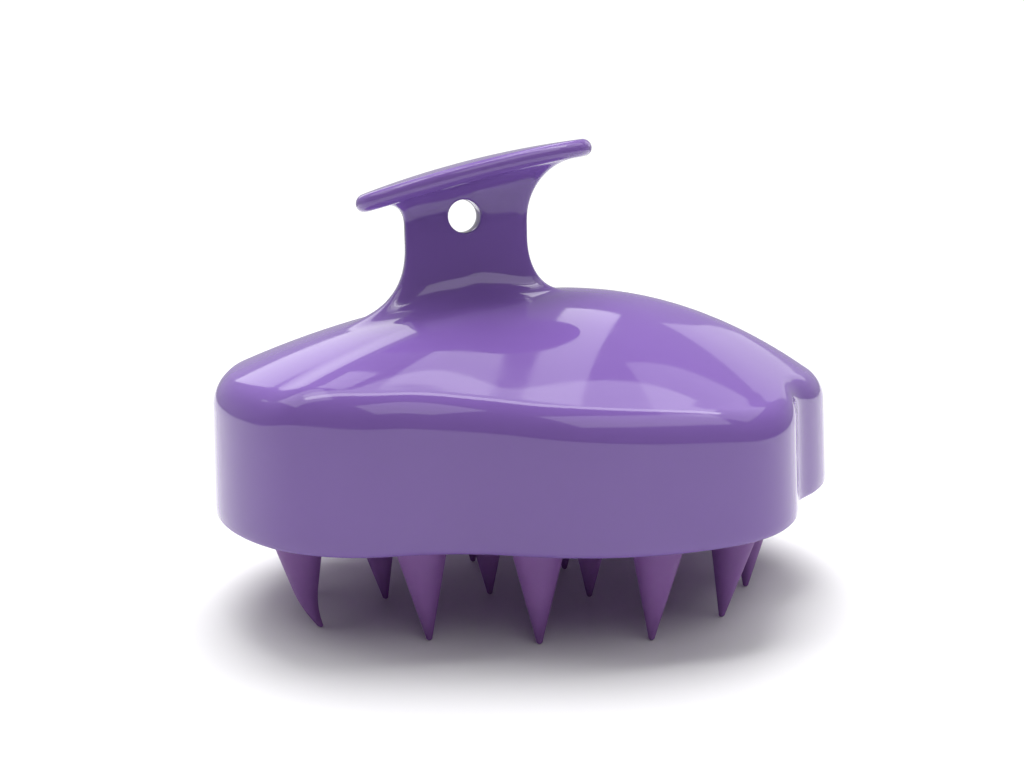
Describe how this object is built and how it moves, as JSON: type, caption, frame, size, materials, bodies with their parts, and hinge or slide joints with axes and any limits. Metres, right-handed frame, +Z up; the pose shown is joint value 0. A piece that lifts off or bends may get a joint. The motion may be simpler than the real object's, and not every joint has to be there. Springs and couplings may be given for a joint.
{
  "type": "scalp and grooming brush",
  "caption": "Hand-held massage and grooming brush: domed lobed shell with a T handle over a soft pad of conical teeth.",
  "frame": {"origin": "on the ground under the middle of the outline, where the tips of the teeth stand", "axes": "+X along the length towards the nose, +Y across, +Z up through the handle"},
  "size_m": [0.095, 0.0734, 0.0672],
  "materials": {
    "shell_plastic": "polished moulded plastic, violet",
    "silicone": "matte moulded silicone, darker violet",
    "carrier_plastic": "plain moulded plastic, violet"
  },
  "bodies": {
    "tooth_unit": {"tooth_pad": "silicone", "carrier": "carrier_plastic"},
    "handle_shell": {"shell": "shell_plastic"}
  },
  "joints": [
    {"name": "shell_lift", "type": "slide", "parent": "tooth_unit", "child": "handle_shell", "axis": [0, 0, 1], "range_m": [0, 0.012]}
  ]
}
